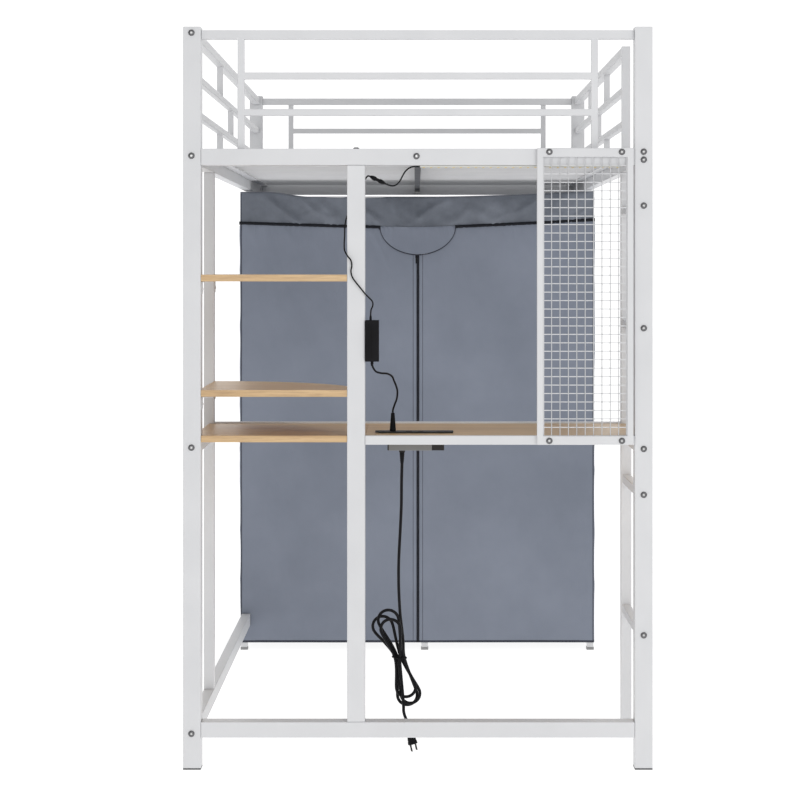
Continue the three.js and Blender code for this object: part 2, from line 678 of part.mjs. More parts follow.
const ADAPTER_ROUTE = [
  [ADAPTER_PLUG.x, OUTLET_Y, plugTop + GAP],
  [ADAPTER_PLUG.x, OUTLET_Y, plugTop + 5],
  [-54, 88.5, 811],
  [-48, 84, 828],
  [-46.5, 76, 846],
  [-50, 68, 860],
  [-54.5, 60, 871],
  [-58, 50, 880],
  [-68, 38, 887],
  [-82, 24, 889],
  [-94, 15, 893],
  [-100.5, 10, 902],
  [adapterX, ADAPTER.y, ADAPTER.underside - 5],
  [adapterX, ADAPTER.y, ADAPTER.underside - GAP],
];
const THIN_ROUTE_LOWER = [
  [-106, ADAPTER.y, adapterTop + GAP],
  [-106, ADAPTER.y, adapterTop + 5],
  [-106, 7, 1022],
  [-105, 5, 1032],
  [-101, 2.5, 1042],
  [-102, -1, 1051],
  [-109, -4, 1059],
  [-118, -4.5, 1068],
  [-128.5, -4.8, 1081],
  [-139, -4.8, 1094],
  [-147, -4.8, 1106],
  [-150, -4.8, 1119],
  [-148, -4.8, 1131],
  [-150, -4.8, 1143],
  [-157.5, -5.5, 1153],
  [-164, -2.5, 1165],
  [-165.5, 8, 1180],
  [-165, 22, 1198],
  [-165, 36, 1216],
  [-162.5, 45, 1236],
  [-152, 48, 1262],
  [-139, 48, 1290],
  [-127, 48, 1314],
  [-118.5, 44, 1328],
  [-112.5, 38.5, 1334.5],
  CONNECTOR_START,
];
const THIN_ROUTE_UPPER = [
  CONNECTOR_END,
  [-70.5, 31.4, 1315.4],
  [-65, 30.7, 1313.3],
  [-56, 29.5, 1311.5],
  [-47, 28, 1315],
  [-40, 26.5, 1323],
  [-34.5, 25, 1333.5],
  [-28, 23, 1344],
  [-20, 21, 1351],
  [-12, 19.3, 1354],
  [STRIP.start - 5, STRIP.y, 1354.6],
  [STRIP.start - GAP, STRIP.y, 1354.6],
];

function buildLighting() {
  const plug = new THREE.CylinderGeometry(
    ADAPTER_PLUG.top / 2,
    ADAPTER_PLUG.bottom / 2,
    ADAPTER_PLUG.height,
    16,
  );
  plug.rotateX(Math.PI / 2).translate(ADAPTER_PLUG.x, OUTLET_Y, plugTop - ADAPTER_PLUG.height / 2);
  place('adapter_plug', plug, black());
  place('adapter_cord', cord(ADAPTER_ROUTE, ADAPTER_CORD, 26), black());
  const half = [ADAPTER.width / 2, ADAPTER.depth / 2];
  const low = [adapterX - half[0], ADAPTER.y - half[1], ADAPTER.underside];
  const high = [adapterX + half[0], ADAPTER.y + half[1], adapterTop];
  place('adapter', block(low, high), black());
  place('thin_cord_lower', cord(THIN_ROUTE_LOWER, THIN_CORD, 48), black());
  place('thin_cord_upper', cord(THIN_ROUTE_UPPER, THIN_CORD, 16), black());
  place('thin_connector', connector(), black());
  const stripLow = [STRIP.start, STRIP.y - STRIP.width / 2, stripTop - STRIP.thickness];
  place('led_strip', block(stripLow, [STRIP.end, STRIP.y + STRIP.width / 2, stripTop]), lamp());
}

// The inline connector lies on the line between the two thin cords.
function connector() {
  const start = new THREE.Vector3(...CONNECTOR_START);
  const end = new THREE.Vector3(...CONNECTOR_END);
  const direction = end.clone().sub(start);
  const length = direction.length() - 2 * CONNECTOR.clearance;
  const body = new THREE.CylinderGeometry(CONNECTOR.diameter / 2, CONNECTOR.diameter / 2, length, 12);
  const turn = new THREE.Quaternion().setFromUnitVectors(new THREE.Vector3(0, 1, 0), direction.normalize());
  const middle = start.add(end).multiplyScalar(0.5);
  return body.applyQuaternion(turn).translate(...middle.toArray());
}

buildPosts();
buildEndFrames();
buildPlatform();
buildSideGuards();
buildLadder();
buildLeftSide();
buildDeskRails();
buildDeskBoards();
buildShelves();
buildMesh();
buildWardrobeFrame();
buildCoverShell();
buildDoors();
buildOutlet();
buildMainsLead();
buildLighting();

// The footprint runs from the front of the mesh panel to the back of the far posts.
bed.position.y = (GAP + MESH_DEPTH - BED_LENGTH) / 2;

export default bed;
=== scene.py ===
"""The looks of the loft bed: cords, cloth wardrobe cover, hardware, materials, light and camera.

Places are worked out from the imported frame. X runs across the bed, Y from the desk end to the wardrobe end
and Z up. Points of cord routes are written in the design frame in millimetres, whose Y starts at the near
posts' front face, and point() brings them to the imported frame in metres.
"""

import json
import math

import bmesh
import bpy
from mathutils import Matrix, Vector, noise


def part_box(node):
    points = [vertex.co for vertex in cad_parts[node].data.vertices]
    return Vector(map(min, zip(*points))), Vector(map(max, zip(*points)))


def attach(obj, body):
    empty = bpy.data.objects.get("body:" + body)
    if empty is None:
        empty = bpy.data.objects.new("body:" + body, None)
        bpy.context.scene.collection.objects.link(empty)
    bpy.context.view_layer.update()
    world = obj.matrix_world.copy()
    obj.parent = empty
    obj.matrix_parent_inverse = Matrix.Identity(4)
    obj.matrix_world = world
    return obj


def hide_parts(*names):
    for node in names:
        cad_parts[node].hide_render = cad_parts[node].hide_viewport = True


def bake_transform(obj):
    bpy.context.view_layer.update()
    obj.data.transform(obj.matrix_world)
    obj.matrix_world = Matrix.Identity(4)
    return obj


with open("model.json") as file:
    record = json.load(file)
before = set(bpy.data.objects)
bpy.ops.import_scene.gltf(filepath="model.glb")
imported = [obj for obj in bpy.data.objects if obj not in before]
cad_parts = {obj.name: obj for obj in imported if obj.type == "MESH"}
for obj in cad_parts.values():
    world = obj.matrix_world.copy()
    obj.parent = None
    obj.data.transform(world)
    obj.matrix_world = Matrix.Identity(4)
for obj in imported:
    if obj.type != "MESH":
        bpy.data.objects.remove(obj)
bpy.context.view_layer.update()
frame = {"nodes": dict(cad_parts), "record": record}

NEAR_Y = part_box("post_near_left")[0].y  # front face of the near posts
FAR_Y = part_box("post_far_left")[1].y
MM = 0.001


def point(x, y, z):
    """A point of the design frame, in millimetres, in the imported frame's metres."""
    return Vector((x * MM, NEAR_Y + y * MM, z * MM))


# ---- Camera ----
def make_camera():
    """Level and square to the bed's desk end, at the height of a standing child's eyes."""
    data = bpy.data.cameras.new("camera")
    data.lens = 97.07
    data.sensor_width = 36.0
    data.shift_x = -0.0191
    data.shift_y = -0.1644
    camera = bpy.data.objects.new("camera", data)
    camera.location = (-0.0057, NEAR_Y - 4.84, 1.125)
    camera.rotation_euler = (math.pi / 2, 0, 0)
    bpy.context.collection.objects.link(camera)
    bpy.context.scene.camera = camera


make_camera()


# ---- Materials ----
class Shader:
    """A principled material whose colour and bump come from procedural textures."""

    def __init__(self, name, roughness=0.5, metallic=0.0, specular=0.5):
        self.material = bpy.data.materials.new(name)
        self.material.use_nodes = True
        self.nodes = self.material.node_tree.nodes
        self.links = self.material.node_tree.links
        self.principled = self.nodes["Principled BSDF"]
        values = {"Roughness": roughness, "Metallic": metallic, "Specular IOR Level": specular}
        for socket, value in values.items():
            self.principled.inputs[socket].default_value = value
        self.place = self.nodes.new("ShaderNodeTexCoord").outputs["Object"]

    def feed(self, value, socket):
        """Links another node's output to a socket, or sets a plain value or colour on it."""
        if isinstance(value, bpy.types.NodeSocket):
            self.links.new(value, socket)
        elif socket.type == "RGBA":
            socket.default_value = (*value, 1)
        else:
            socket.default_value = value

    def node(self, kind, **inputs):
        """A new node with its inputs fed. A space in an input's name is written as an underscore."""
        node = self.nodes.new(kind)
        for name, value in inputs.items():
            self.feed(value, node.inputs[name.replace("_", " ")])
        return node

    def stretch(self, scale):
        """Object coordinates, stretched by a scale for each axis."""
        return self.node("ShaderNodeMapping", Scale=scale, Vector=self.place).outputs["Vector"]

    def noise(self, scale, detail=3.0, rough=0.5, vector=None, distortion=0.0):
        node = self.node("ShaderNodeTexNoise", Scale=scale, Detail=detail, Roughness=rough)
        self.feed(distortion, node.inputs["Distortion"])
        self.feed(vector or self.place, node.inputs["Vector"])
        return node.outputs["Fac"]

    def wave(self, scale, direction):
        node = self.node("ShaderNodeTexWave", Scale=scale, Vector=self.place)
        node.bands_direction = direction
        return node.outputs["Fac"]

    def ramp(self, factor, stops):
        """A colour ramp over a factor: stops are (place, colour)."""
        node = self.nodes.new("ShaderNodeValToRGB")
        elements = node.color_ramp.elements
        while len(elements) < len(stops):
            elements.new(0.5)
        for element, (place, colour) in zip(elements, stops):
            element.position = place
            element.color = (*colour, 1)
        self.links.new(factor, node.inputs["Fac"])
        return node.outputs["Color"]

    def mix(self, factor, first, second, mode="MIX"):
        node = self.nodes.new("ShaderNodeMix")
        node.data_type = "RGBA"
        node.blend_type = mode
        for value, socket in ((factor, 0), (first, 6), (second, 7)):
            self.feed(value, node.inputs[socket])
        return node.outputs[2]

    def math(self, operation, first, second):
        node = self.nodes.new("ShaderNodeMath")
        node.operation = operation
        self.feed(first, node.inputs[0])
        self.feed(second, node.inputs[1])
        return node.outputs[0]

    def colour(self, socket):
        self.links.new(socket, self.principled.inputs["Base Color"])

    def roughen(self, factor, low, high):
        """Roughness that varies with a factor."""
        node = self.node("ShaderNodeMapRange", To_Min=low, To_Max=high, Value=factor)
        self.links.new(node.outputs["Result"], self.principled.inputs["Roughness"])

    def bump(self, height, distance, strength=1.0):
        node = self.node("ShaderNodeBump", Distance=distance, Strength=strength, Height=height)
        self.links.new(node.outputs["Normal"], self.principled.inputs["Normal"])


def speckled(name, dark, light, roughness, grain, depth, specular=0.5):
    """A moulded or coated surface: soft colour drift, a fine grain and roughness that follows it."""
    shader = Shader(name, roughness, 0.0, specular)
    drift = shader.noise(9.0, 3.0)
    shader.colour(shader.ramp(drift, [(0.3, dark), (0.7, light)]))
    fine = shader.noise(grain, 2.0, 0.6)
    shader.roughen(fine, roughness - 0.06, roughness + 0.06)
    shader.bump(fine, depth, 0.5)
    return shader.material


def oak(name):
    """Light oak laminate: long grain lines, pores and broad darker bands."""
    shader = Shader(name, 0.36, 0.0, 0.75)
    grain = shader.stretch((1.6, 26.0, 26.0))
    broad = shader.noise(1.6, 4.0, 0.55, grain, 0.6)
    base = shader.ramp(
        broad,
        [(0.25, (0.44, 0.27, 0.12)), (0.5, (0.60, 0.395, 0.19)), (0.75, (0.70, 0.49, 0.26))],
    )
    fibres = shader.noise(9.0, 5.0, 0.65, grain)
    lines = shader.ramp(fibres, [(0.38, (0.62, 0.55, 0.48)), (0.56, (1.0, 1.0, 1.0))])
    shader.colour(shader.mix(0.55, base, lines, "MULTIPLY"))
    shader.roughen(fibres, 0.3, 0.44)
    shader.bump(fibres, 0.0003, 0.35)
    return shader.material


THREAD_SCALE = 238.0


def oxford(name, dark, light, sheen=0.15, patches=3.2):
    """Coated plain-weave cloth: crossing threads, soft drift and small creases."""
    shader = Shader(name, 0.62, 0.0, 0.35)
    shader.principled.inputs["Sheen Weight"].default_value = sheen
    shader.principled.inputs["Sheen Roughness"].default_value = 0.5
    drift = shader.noise(patches, 4.0, 0.6)
    threads = shader.noise(700.0, 2.0, 0.7)
    base = shader.ramp(drift, [(0.3, dark), (0.7, light)])
    shader.colour(shader.mix(0.12, base, shader.ramp(threads, [(0.35, dark), (0.65, light)])))
    warp = shader.wave(THREAD_SCALE, "X")
    weft = shader.wave(THREAD_SCALE, "Z")
    crossing = shader.math("MULTIPLY", warp, weft)
    creases = shader.noise(38.0, 5.0, 0.62, shader.stretch((1.0, 1.0, 0.55)), 0.8)
    height = shader.math("ADD", shader.math("MULTIPLY", crossing, 0.05), creases)
    shader.roughen(creases, 0.52, 0.72)
    shader.bump(height, 0.0016, 0.55)
    return shader.material


def metal(name, dark, light, roughness):
    """Plated steel with a faint turned grain."""
    shader = Shader(name, roughness, 1.0)
    grain = shader.noise(240.0, 3.0, 0.6, shader.stretch((1.0, 1.0, 6.0)))
    shader.colour(shader.ramp(grain, [(0.35, dark), (0.65, light)]))
    shader.roughen(grain, roughness - 0.05, roughness + 0.1)
    shader.bump(grain, 0.00005, 0.3)
    return shader.material


def ribbed(name, dark, light, roughness, pitch, direction="X"):
    """Dark zip tape with teeth across it."""
    shader = Shader(name, roughness, 0.0, 0.25)
    teeth = shader.wave(0.5 / pitch, direction)
    shader.colour(shader.ramp(teeth, [(0.3, dark), (0.8, light)]))
    shader.bump(teeth, 0.0008, 0.8)
    return shader.material


PAINT = speckled("powder_coat", (0.655, 0.66, 0.675), (0.69, 0.694, 0.708), 0.42, 900.0, 0.00008)
# Near black on the centre beam: painted shade for the shadow under the platform.
BEAM_PAINTED_SHADE = speckled("beam_paint", (0.075, 0.076, 0.08), (0.105, 0.106, 0.11), 0.5, 900.0, 0.00008)
CAP = speckled("leg_cap", (0.24, 0.24, 0.245), (0.3, 0.3, 0.305), 0.5, 600.0, 0.0001)
FOOT = speckled("foot_rubber", (0.045, 0.045, 0.048), (0.07, 0.07, 0.073), 0.6, 500.0, 0.0002)
OAK = oak("light_oak")
CLOTH = oxford("oxford_cloth", (0.178, 0.201, 0.252), (0.228, 0.254, 0.315))
# The band and roof cloth is the cover cloth painted darker, with strong dark patches: painted shade under the
# platform and in the band's folds.
SHADED_BAND = oxford("oxford_band_painted_shade", (0.105, 0.119, 0.145), (0.205, 0.226, 0.268), 0.15, 8.0)
BINDING = oxford("edge_binding", (0.03, 0.034, 0.05), (0.045, 0.05, 0.07), 0.05)
ZIP = ribbed("zip_teeth", (0.006, 0.007, 0.011), (0.02, 0.022, 0.03), 0.45, 0.0022)
ZIP_UPRIGHT = ribbed("zip_teeth_upright", (0.006, 0.007, 0.011), (0.02, 0.022, 0.03), 0.45, 0.0022, "Z")
BLACK = speckled("black_plastic", (0.003, 0.003, 0.004), (0.008, 0.008, 0.01), 0.5, 700.0, 0.0001, 0.12)
RUBBER = speckled("cord_jacket", (0.002, 0.002, 0.003), (0.006, 0.006, 0.008), 0.38, 420.0, 0.0001, 0.14)
OUTLET = speckled("outlet_plastic", (0.012, 0.011, 0.011), (0.022, 0.02, 0.019), 0.45, 600.0, 0.0001, 0.25)
GREY = speckled("outlet_shell", (0.16, 0.165, 0.17), (0.2, 0.205, 0.21), 0.45, 600.0, 0.0001)
ZINC = metal("zinc", (0.13, 0.13, 0.135), (0.2, 0.2, 0.205), 0.4)
# Near-black metal for the plug's pins: painted shade on their bright metal.
PIN_PAINTED_SHADE = metal("pins_painted_shade", (0.012, 0.012, 0.013), (0.022, 0.022, 0.023), 0.45)
BRIGHT = metal("bright_zinc", (0.5, 0.5, 0.5), (0.62, 0.62, 0.62), 0.34)
SOCKET = speckled("socket_shadow", (0.02, 0.02, 0.02), (0.04, 0.04, 0.04), 0.7, 300.0, 0.0001)
CHROME = metal("plated_tube", (0.62, 0.62, 0.63), (0.74, 0.74, 0.75), 0.16)
SILICONE = speckled("strip_silicone", (0.62, 0.62, 0.58), (0.7, 0.7, 0.66), 0.35, 400.0, 0.0001)
CHIP = speckled("light_chips", (0.75, 0.52, 0.10), (0.85, 0.66, 0.2), 0.3, 400.0, 0.0001)


# ---- Pieces ----
def link(name, mesh, material, smooth=True):
    piece = bpy.data.objects.new(name, mesh)
    bpy.context.collection.objects.link(piece)
    for one in material if isinstance(material, list) else [material]:
        mesh.materials.append(one)
    for polygon in mesh.polygons:
        polygon.use_smooth = smooth
    return piece


def from_lists(name, vertices, faces, material, smooth=True):
    mesh = bpy.data.meshes.new(name)
    mesh.from_pydata([tuple(v) for v in vertices], [], faces)
    mesh.update()
    return link(name, mesh, material, smooth)


def soften(piece, width, segments=2):
    """Rounded edges, shaded smooth only across them."""
    bevel = piece.modifiers.new("bevel", "BEVEL")
    bevel.width = width
    bevel.segments = segments
    bevel.limit_method = "ANGLE"
    bevel.angle_limit = math.radians(35)
    bevel.harden_normals = True
    for polygon in piece.data.polygons:
        polygon.use_smooth = True
    return piece


def finish_piece(piece, body, slot, *nodes):
    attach(piece, body)
    if nodes:
        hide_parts(*nodes)
    return piece


def turn_to(axis):
    """The rotation that takes +Z to the axis."""
    return Vector((0, 0, 1)).rotation_difference(Vector(axis).normalized())


def ring_faces(rings, sides):
    """The faces between rings of points, and over the first ring and the last."""
    faces = []
    for ring in range(rings - 1):
        low, high = ring * sides, (ring + 1) * sides
        for step in range(sides):
            nxt = (step + 1) % sides
            faces.append((low + step, low + nxt, high + nxt, high + step))
    faces.append(tuple(range(sides))[::-1])
    faces.append(tuple((rings - 1) * sides + step for step in range(sides)))
    return faces


def lathe(profile, segments=24):
    """Vertices and faces of a solid of revolution about Z. The profile is (radius, height, sides):
    sides 0 is round, and 6 puts that ring on a hexagon of the same inner radius."""
    vertices = []
    for radius, height, sides in profile:
        for step in range(segments):
            angle = 2 * math.pi * step / segments
            reach = radius
            if sides:
                sector = 2 * math.pi / sides
                reach = radius / math.cos((angle % sector) - sector / 2)
            vertices.append(Vector((reach * math.cos(angle), reach * math.sin(angle), height)))
    return vertices, ring_faces(len(profile), segments)


class Batch:
    """Several small solids gathered into one piece, which is one mesh."""

    def __init__(self):
        self.vertices = []
        self.faces = []
        self.slots = []

    def add(self, vertices, faces, centre=(0, 0, 0), axis=(0, 0, 1), slots=None):
        turn = turn_to(axis)
        base = len(self.vertices)
        self.vertices += [turn @ Vector(v) + Vector(centre) for v in vertices]
        self.faces += [tuple(base + index for index in face) for face in faces]
        self.slots += slots or [0] * len(faces)

    def box(self, low, high, slot=0):
        corners = [(x, y, z) for x in (low[0], high[0]) for y in (low[1], high[1]) for z in (low[2], high[2])]
        faces = [(0, 1, 3, 2), (4, 6, 7, 5), (0, 4, 5, 1), (2, 3, 7, 6), (0, 2, 6, 4), (1, 5, 7, 3)]
        self.add(corners, faces, slots=[slot] * 6)

    def slab(self, centre, half, heights, slot=0):
        """A box from its middle and half sizes in plan, and its lower and upper heights."""
        low = (centre[0] - half[0], centre[1] - half[1], heights[0])
        high = (centre[0] + half[0], centre[1] + half[1], heights[1])
        self.box(low, high, slot)

    def piece(self, name, materials, smooth=False):
        piece = from_lists(name, self.vertices, self.faces, materials, smooth)
        for polygon, slot in zip(piece.data.polygons, self.slots):
            polygon.material_index = slot
        return piece


def finish_batch(batch, name, materials, slot, edge=0.0, segments=2):
    """A batch as one piece on the bed, with its edges eased."""
    piece = batch.piece(name, materials)
    if edge:
        soften(piece, edge, segments)
    return finish_piece(piece, "bed", slot)


# ---- Cords ----
def between(first, second, start, end, now):
    """The place, at a time from start to end, on the way from the first point to the second."""
    return first * ((end - now) / (end - start)) + second * ((now - start) / (end - start))


def smooth_route(points, step=0.003):
    """Points close together along a smooth line through the given points."""
    count = len(points)
    extended = [2 * points[0] - points[1], *points, 2 * points[-1] - points[-2]]
    route = []
    for index in range(count - 1):
        a, b, c, d = extended[index : index + 4]
        t0 = 0.0
        t1 = t0 + max((b - a).length, 1e-6) ** 0.5
        t2 = t1 + max((c - b).length, 1e-6) ** 0.5
        t3 = t2 + max((d - c).length, 1e-6) ** 0.5
        pieces = max(2, int((c - b).length / step))
        for part in range(pieces):
            t = t1 + (t2 - t1) * part / pieces
            a1 = between(a, b, t0, t1, t)
            a2 = between(b, c, t1, t2, t)
            a3 = between(c, d, t2, t3, t)
            b1 = between(a1, a2, t0, t2, t)
            b2 = between(a2, a3, t1, t3, t)
            route.append(between(b1, b2, t1, t2, t))
    route.append(points[-1])
    return route


def cord_curve(name, points, diameter):
    """A round cord along a smooth route, and its length."""
    route = smooth_route(points)
    data = bpy.data.curves.new(name, "CURVE")
    data.dimensions = "3D"
    data.bevel_depth = diameter / 2
    data.bevel_resolution = 4
    data.use_fill_caps = True
    spline = data.splines.new("POLY")
    spline.points.add(len(route) - 1)
    for place, target in zip(route, spline.points):
        target.co = (*place, 1)
    spline.use_smooth = True
    data.materials.append(RUBBER)
    piece = bpy.data.objects.new(name, data)
    bpy.context.collection.objects.link(piece)
    length = sum((b - a).length for a, b in zip(route, route[1:]))
    return piece, length


# The mains lead: down from the outlet, three turns of the tied hank and the tail to the plug.
MAINS_UPPER = [
    (-36, 90, 704.7), (-36, 90, 685), (-37, 90, 640), (-37.7, 90, 580), (-41, 90, 509),
    (-43.5, 90, 456), (-43.7, 90, 404), (-41.5, 91, 352),
]
MAINS_TAIL = [
    (-32.4, 82.5, 121.7), (-32.4, 82.5, 116), (-30.4, 84.6, 106), (-26, 87.8, 94),
    (-21.4, 89.5, 81), (-18.6, 90, 69.8), (-16.8, 90, 62.0),
]
PLUG_MIDDLE = (-14, 90, 50)
PLUG_TURN = 28
PLUG_TILT = -13
MAINS_DIAMETER = 0.007
WAIST = (-42, 235)
# Centre and radius of the ends of each turn of the hank, from the rear turn to the front one.
BOTTOM_LOOPS = [((-24, 148), 22.5), ((-17, 153), 22), ((-27, 169), 22)]
TOP_LOOPS = [((-80, 306), 23), ((-67, 321), 23.5), ((-62, 302), 22.5)]
# Where each strand passes the waist, across it, on the way down and on the way up.
DOWN_OFFSETS = (11, 4, 9, 1)
UP_OFFSETS = (-10, -4, -10)
TURN_DEPTHS = (102, 94, 86, 78)


def loop(before, centre, radius, after, depths, steps=12):
    """Points round one end of a turn, whose sides run straight from one place and to another."""
    angles = []
    for place, side in ((before, 1), (after, -1)):
        across, rise = centre[0] - place[0], centre[1] - place[1]
        turn = math.pi / 2 + math.asin(radius / math.hypot(across, rise))
        angles.append(math.atan2(rise, across) + side * turn)
    route = []
    for step in range(steps + 1):
        share = step / steps
        angle = angles[0] + (angles[1] - angles[0]) * share
        depth = depths[0] + (depths[1] - depths[0]) * share
        route.append((centre[0] + radius * math.cos(angle), depth, centre[1] + radius * math.sin(angle)))
    return route


def hank_points():
    """The tied hank: three turns through a pinched waist, each in front of the one before."""
    route = [(-40, 95, 331), (-37, 100, 305), (-33.5, TURN_DEPTHS[0], 272)]
    for turn in range(3):
        down = (WAIST[0] + DOWN_OFFSETS[turn], WAIST[1])
        up = (WAIST[0] + UP_OFFSETS[turn], WAIST[1])
        after = (WAIST[0] + DOWN_OFFSETS[turn + 1], WAIST[1])
        depth, front = TURN_DEPTHS[turn], TURN_DEPTHS[turn + 1]
        route.append((down[0], depth, down[1]))
        route += loop(down, *BOTTOM_LOOPS[turn], up, (depth, depth))
        route.append((up[0], depth, up[1]))
        route += loop(up, *TOP_LOOPS[turn], after, (depth, front))
    route.append((WAIST[0] + DOWN_OFFSETS[3], TURN_DEPTHS[3], WAIST[1]))
    route += [(-38, 78.5, 195), (-34, 80.5, 150)]
    return route


def strain_relief(name, top, diameters, length, ribs):
    """A tapered ribbed sleeve that hangs down from a point."""
    profile = []
    steps = ribs * 2
    for step in range(steps + 1):
        share = step / steps
        radius = (diameters[0] + (diameters[1] - diameters[0]) * share) / 2
        groove = 0.88 if step % 2 else 1.0
        profile.append((radius * groove, share * length, 0))
    vertices, faces = lathe(profile, 20)
    batch = Batch()
    batch.add(vertices, faces, top, (0, 0, -1))
    return batch.piece(name, [BLACK], True)


PLUG_SIZE = (0.022, 0.014, 0.024)
PIN_SIZE = (0.0016, 0.0063)
PIN_SPREAD = 0.0127
PIN_END = -0.0275
# Height share of each ring of the plug's body, with its width and depth as shares of the whole.
PLUG_RINGS = [
    (0.0, 1.0, 1.0), (0.1, 1.0, 1.0), (0.3, 0.94, 0.92), (0.36, 0.85, 0.85), (0.42, 0.93, 0.91),
    (0.5, 0.85, 0.85), (0.56, 0.9, 0.88), (0.75, 0.66, 0.76), (0.9, 0.44, 0.62),
    (1.0, 0.36, 0.56),
]


def mains_plug():
    """Two-pin plug, turned and a little tilted: a body that narrows to the cord, and two flat pins."""
    width, depth, height = PLUG_SIZE
    sides = 24
    vertices = []
    for share, across, through in PLUG_RINGS:
        for step in range(sides):
            angle = 2 * math.pi * step / sides
            cosine, sine = math.cos(angle), math.sin(angle)
            square = 0.98 / max(abs(cosine), abs(sine)) ** 0.6
            x = width / 2 * across * cosine * square
            y = depth / 2 * through * sine * square
            vertices.append((x, y, height * share - height / 2))
    batch = Batch()
    batch.add(vertices, ring_faces(len(PLUG_RINGS), sides))
    for side in (-1, 1):
        centre = (side * PIN_SPREAD / 2, 0)
        batch.slab(centre, (PIN_SIZE[0] / 2, PIN_SIZE[1] / 2), (PIN_END, MM - height / 2), 1)
    turned = Matrix.Rotation(math.radians(PLUG_TURN), 4, "Z")
    turn = Matrix.Rotation(math.radians(PLUG_TILT), 4, "Y") @ turned
    middle = point(*PLUG_MIDDLE)
    batch.vertices = [middle + turn @ vertex for vertex in batch.vertices]
    # The pins take the near-black metal, which is painted shade.
    piece = batch.piece("plug_body", [BLACK, PIN_PAINTED_SHADE], True)
    piece.data.set_sharp_from_angle(angle=math.radians(40))
    return finish_piece(piece, "bed", "black_plastic", "mains_plug")


def hank_tie():
    """The twisted tie round the waist of the hank."""
    x, z = WAIST
    route = []
    for step in range(25):
        angle = 2 * math.pi * step / 24
        route.append(point(x + 16 * math.cos(angle), 90 + 17 * math.sin(angle), z + 3 * math.sin(angle / 2)))
    batch = Batch()
    for first, second in zip(route, route[1:]):
        vertices, faces = lathe([(0.0016, 0, 0), (0.0016, (second - first).length * 1.1, 0)], 10)
        batch.add(vertices, faces, first, second - first)
    piece = batch.piece("hank_tie", [BLACK], True)
    return finish_piece(piece, "bed", "black_plastic")


def make_mains_lead():
    points = [point(*p) for p in MAINS_UPPER + hank_points() + MAINS_TAIL]
    lead, length = cord_curve("mains_lead", points, MAINS_DIAMETER)
    finish_piece(lead, "bed", "cord_rubber", "mains_cord", "mains_tail", "mains_hank")
    relief = strain_relief("mains_strain_relief", point(-36, 90, 705), (0.0125, 0.0085), 0.024, 5)
    finish_piece(relief, "bed", "black_plastic")
    mains_plug()
    hank_tie()


ADAPTER_ROUTE = [
    (-57, 90, 795.9), (-57, 90, 800.6), (-54, 88.5, 811), (-48, 84, 828), (-46.5, 76, 846),
    (-50, 68, 860), (-54.5, 60, 871), (-58, 50, 880), (-68, 38, 887), (-82, 24, 889),
    (-94, 15, 893), (-100.5, 10, 902), (-102.9, 8, 911), (-102.9, 8, 915.7),
]
THIN_ROUTE_LOWER = [
    (-106, 8, 1009.3), (-106, 8, 1014), (-106, 7, 1022), (-105, 5, 1032), (-101, 2.5, 1042),
    (-102, -1, 1051), (-109, -4, 1059), (-118, -4.5, 1068), (-128.5, -4.8, 1081),
    (-139, -4.8, 1094), (-147, -4.8, 1106), (-150, -4.8, 1119), (-148, -4.8, 1131),
    (-150, -4.8, 1143), (-157.5, -5.5, 1153), (-164, -2.5, 1165), (-165.5, 8, 1180),
    (-165, 22, 1198), (-165, 36, 1216), (-162.5, 45, 1236), (-152, 48, 1262), (-139, 48, 1290),
    (-127, 48, 1314), (-118.5, 44, 1328), (-112.5, 38.5, 1334.5), (-107.5, 36, 1333),
]
THIN_ROUTE_UPPER = [
    (-75, 32, 1317.5), (-70.5, 31.4, 1315.4), (-65, 30.7, 1313.3), (-56, 29.5, 1311.5),
    (-47, 28, 1315), (-40, 26.5, 1323), (-34.5, 25, 1333.5), (-28, 23, 1344), (-20, 21, 1351),
    (-12, 19.3, 1354), (0, 19, 1354.6), (4.7, 19, 1354.6),
]


def connector_piece():
    """The inline connector: a socket and a plug, each with a waist where it is gripped."""
    start = point(*THIN_ROUTE_LOWER[-1])
    end = point(*THIN_ROUTE_UPPER[0])
    length = (end - start).length
    shape = [(0.0, 2.2), (0.06, 3.4), (0.2, 5.0), (0.36, 5.0), (0.44, 3.2), (0.5, 4.0), (0.56, 3.2)]
    shape += [(0.66, 5.0), (0.8, 5.0), (0.94, 3.4), (1.0, 2.2)]
    vertices, faces = lathe([(radius * MM, share * length, 0) for share, radius in shape], 20)
    batch = Batch()
    batch.add(vertices, faces, start, end - start)
    piece = batch.piece("inline_connector", [BLACK], True)
    return finish_piece(piece, "bed", "black_plastic", "thin_connector")


def lighting_cord(name, route, diameter, node, **facts):
    """A lead of the lighting along its route. The facts it is given are not used."""
    lead, length = cord_curve(name, [point(*p) for p in route], diameter)
    finish_piece(lead, "bed", "cord_rubber", node)
    point(*route[0])


def make_lighting_cords():
    on_adapter = {"far_end": "object", "with_pieces": ["adapter_plug", "adapter"]}
    lighting_cord("adapter_lead", ADAPTER_ROUTE, 0.0045, "adapter_cord", **on_adapter)
    lower = {"far_end": "connector", "stiffness": "limp", "with_pieces": [connector_piece()]}
    lighting_cord("strip_lead_lower", THIN_ROUTE_LOWER, 0.0034, "thin_cord_lower", **lower)
    upper = {"far_end": "object", "stiffness": "limp"}
    lighting_cord("strip_lead_upper", THIN_ROUTE_UPPER, 0.0034, "thin_cord_upper", **upper)


make_mains_lead()
make_lighting_cords()


# ---- Finishes of the frame's own nodes ----
def dress(name, material, width):
    """A node keeps its shape, with welded corners, eased edges and a real finish."""
    node = frame["nodes"][name]
    if not node.material_slots:
        node.data.materials.append(material)
    for slot in node.material_slots:
        slot.link = "OBJECT"
        slot.material = material
    weld = node.modifiers.new("weld", "WELD")
    weld.merge_threshold = 0.00001
    bevel = node.modifiers.new("bevel", "BEVEL")
    bevel.width = width
    bevel.segments = 3
    bevel.limit_method = "ANGLE"
    bevel.angle_limit = math.radians(40)
    bevel.use_clamp_overlap = True
    bevel.harden_normals = True


